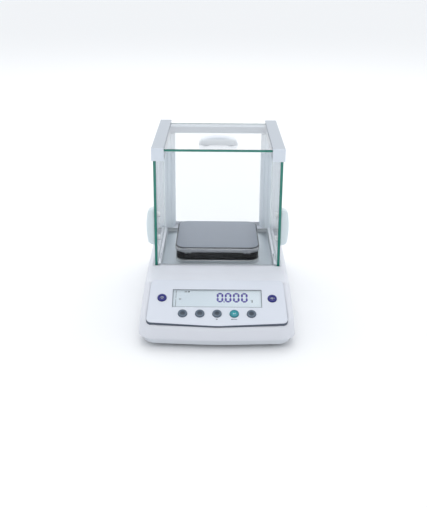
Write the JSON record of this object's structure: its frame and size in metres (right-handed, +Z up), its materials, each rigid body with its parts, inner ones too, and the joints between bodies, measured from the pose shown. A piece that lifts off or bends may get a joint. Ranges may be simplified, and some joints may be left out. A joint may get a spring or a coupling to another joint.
{
  "type": "precision balance",
  "caption": "Laboratory balance: white wedge-shaped base with sloped keypad and display, square steel pan, and a glass draught shield with sliding side and top doors.",
  "frame": {"origin": "centre of the footprint on the bench, at the underside of the feet", "axes": "+Z up, the control panel faces -Y, +X to the right as seen by the user"},
  "size_m": [0.2164, 0.3428, 0.258],
  "materials": {
    "cap_white": "smooth",
    "carrier_aluminium": "milled",
    "cell_casting": "die cast, bead blasted",
    "circuit_green": "solder mask",
    "coil_copper": "enamelled copper winding",
    "cover_white": "fine satin texture",
    "floor_steel": "brushed stainless",
    "foot_wheel": "knurled",
    "frame_white": "fine satin texture",
    "handle_white": "smooth",
    "housing_white": "fine satin texture",
    "key_grey": "satin silicone",
    "key_navy": "satin silicone",
    "key_teal": "satin silicone",
    "lcd_face": "pale blue-grey liquid crystal face",
    "level_black": "moulded",
    "level_glass": "tinted vial",
    "magnet_nickel": "nickel plated",
    "mat_grey": "moulded silicone",
    "pad_rubber": "moulded rubber",
    "pan_steel": "finely blasted stainless, polished rim",
    "pane_glass": "float glass with ground edges",
    "panel_white": "smooth film, satin",
    "pot_iron": "turned, nickel plated",
    "ribbon_grey": "flat cable jacket",
    "ring_steel": "polished stainless",
    "screw_steel": "zinc plated",
    "sensor_black": "moulded",
    "socket_black": "moulded",
    "socket_metal": "tin-plated shell",
    "spring_steel": "rolled spring strip",
    "support_black": "gloss black",
    "track_white": "smooth satin",
    "tray_white": "fine satin texture",
    "trim_grey": "satin dark grey",
    "window_clear": "polished clear plastic"
  },
  "bodies": {
    "base": {"back_glass": "pane_glass", "base_tray": "tray_white", "cell_frame": "cell_casting", "chamber_floor": "floor_steel", "control_panel": "panel_white", "dc_jack": "socket_black", "display_board": "circuit_green", "display_ribbon": "ribbon_grey", "display_window": "window_clear", "door_tracks": "track_white", "draught_ring": "ring_steel", "front_feet": "pad_rubber", "front_glass": "pane_glass", "keypad_mat": "mat_grey", "lcd_module": "lcd_face", "left_post": "frame_white", "left_rail": "frame_white", "level_cup": "level_black", "level_vial": "level_glass", "machine_screws": "screw_steel", "magnet": "magnet_nickel", "magnet_pot": "pot_iron", "main_board": "circuit_green", "panel_frame": "trim_grey", "parallel_guides": "spring_steel", "pivot_strips": "spring_steel", "position_sensor": "sensor_black", "rear_beam": "frame_white", "right_post": "frame_white", "right_rail": "frame_white", "serial_port": "socket_metal", "upper_housing": "housing_white"},
    "left_door": {"left_door_glass": "pane_glass", "left_handle": "handle_white", "left_handle_screws": "cap_white"},
    "right_door": {"right_door_glass": "pane_glass", "right_handle": "handle_white", "right_handle_screws": "cap_white"},
    "top_door": {"top_door_glass": "pane_glass", "top_handle": "handle_white", "top_handle_screws": "cap_white"},
    "carrier": {"load_carrier": "carrier_aluminium", "coupling_strip": "spring_steel"},
    "beam_lever": {"lever": "carrier_aluminium", "coil": "coil_copper"},
    "pan": {"pan": "pan_steel", "pan_support": "support_black", "pan_pads": "pad_rubber"},
    "left_foot": {"left_foot_pad": "pad_rubber"},
    "right_foot": {"right_foot_pad": "pad_rubber"},
    "left_foot_wheel": {"left_foot_screw": "foot_wheel"},
    "right_foot_wheel": {"right_foot_screw": "foot_wheel"},
    "underside_cover": {"hook_cover": "cover_white"},
    "power_key": {"power_key": "key_navy"},
    "tare_key": {"tare_key": "key_navy"},
    "mode_key": {"mode_key": "key_grey"},
    "left_arrow_key": {"left_arrow_key": "key_grey"},
    "print_key": {"print_key": "key_grey"},
    "enter_key": {"enter_key": "key_teal"},
    "calibrate_key": {"calibrate_key": "key_grey"}
  },
  "joints": [
    {"name": "left_door_slide", "type": "slide", "parent": "base", "child": "left_door", "axis": [0, 1, 0], "range_m": [0, 0.145]},
    {"name": "right_door_slide", "type": "slide", "parent": "base", "child": "right_door", "axis": [0, 1, 0], "range_m": [0, 0.145]},
    {"name": "top_door_slide", "type": "slide", "parent": "base", "child": "top_door", "axis": [0, 1, 0], "range_m": [0, 0.13]},
    {"name": "pan_travel", "type": "slide", "parent": "base", "child": "carrier", "axis": [0, 0, -1], "range_m": [0, 0.0005], "stiffness_N_per_m": 20000, "springref_m": -0.0005},
    {"name": "lever_tilt", "type": "hinge", "parent": "base", "child": "beam_lever", "pos_m": [0, 0.066, 0.042], "axis": [1, 0, 0], "range_deg": [0, 2]},
    {"name": "pan_lift", "type": "slide", "parent": "carrier", "child": "pan", "axis": [0, 0, 1], "range_m": [0, 0.03]},
    {"name": "hook_cover_swing", "type": "hinge", "parent": "base", "child": "underside_cover", "pos_m": [0.015, 0.049, 0.0036], "axis": [0, 0, 1], "range_deg": [0, 100]},
    {"name": "power_key_press", "type": "slide", "parent": "base", "child": "power_key", "axis": [0, 0.4384, -0.8988], "range_m": [0, 0.0012], "stiffness_N_per_m": 400, "springref_m": -0.001},
    {"name": "tare_key_press", "type": "slide", "parent": "base", "child": "tare_key", "axis": [0, 0.4384, -0.8988], "range_m": [0, 0.0012], "stiffness_N_per_m": 400, "springref_m": -0.001},
    {"name": "mode_key_press", "type": "slide", "parent": "base", "child": "mode_key", "axis": [0, 0.4384, -0.8988], "range_m": [0, 0.0012], "stiffness_N_per_m": 400, "springref_m": -0.001},
    {"name": "left_arrow_key_press", "type": "slide", "parent": "base", "child": "left_arrow_key", "axis": [0, 0.4384, -0.8988], "range_m": [0, 0.0012], "stiffness_N_per_m": 400, "springref_m": -0.001},
    {"name": "print_key_press", "type": "slide", "parent": "base", "child": "print_key", "axis": [0, 0.4384, -0.8988], "range_m": [0, 0.0012], "stiffness_N_per_m": 400, "springref_m": -0.001},
    {"name": "enter_key_press", "type": "slide", "parent": "base", "child": "enter_key", "axis": [0, 0.4384, -0.8988], "range_m": [0, 0.0012], "stiffness_N_per_m": 400, "springref_m": -0.001},
    {"name": "calibrate_key_press", "type": "slide", "parent": "base", "child": "calibrate_key", "axis": [0, 0.4384, -0.8988], "range_m": [0, 0.0012], "stiffness_N_per_m": 400, "springref_m": -0.001},
    {"name": "left_foot_height", "type": "slide", "parent": "base", "child": "left_foot", "axis": [0, 0, -1], "range_m": [-0.002, 0.003]},
    {"name": "left_foot_turn", "type": "hinge", "parent": "left_foot", "child": "left_foot_wheel", "pos_m": [-0.078, 0.138, 0.008], "axis": [0, 0, 1], "range_deg": [-700, 1060]},
    {"name": "right_foot_height", "type": "slide", "parent": "base", "child": "right_foot", "axis": [0, 0, -1], "range_m": [-0.002, 0.003]},
    {"name": "right_foot_turn", "type": "hinge", "parent": "right_foot", "child": "right_foot_wheel", "pos_m": [0.078, 0.138, 0.008], "axis": [0, 0, 1], "range_deg": [-700, 1060]}
  ],
  "couplings": [
    {"joint": "lever_tilt", "follows": "pan_travel", "rad_per_m": 66.667},
    {"joint": "left_foot_height", "follows": "left_foot_turn", "m_per_rad": 0.00015915},
    {"joint": "right_foot_height", "follows": "right_foot_turn", "m_per_rad": 0.00015915}
  ]
}
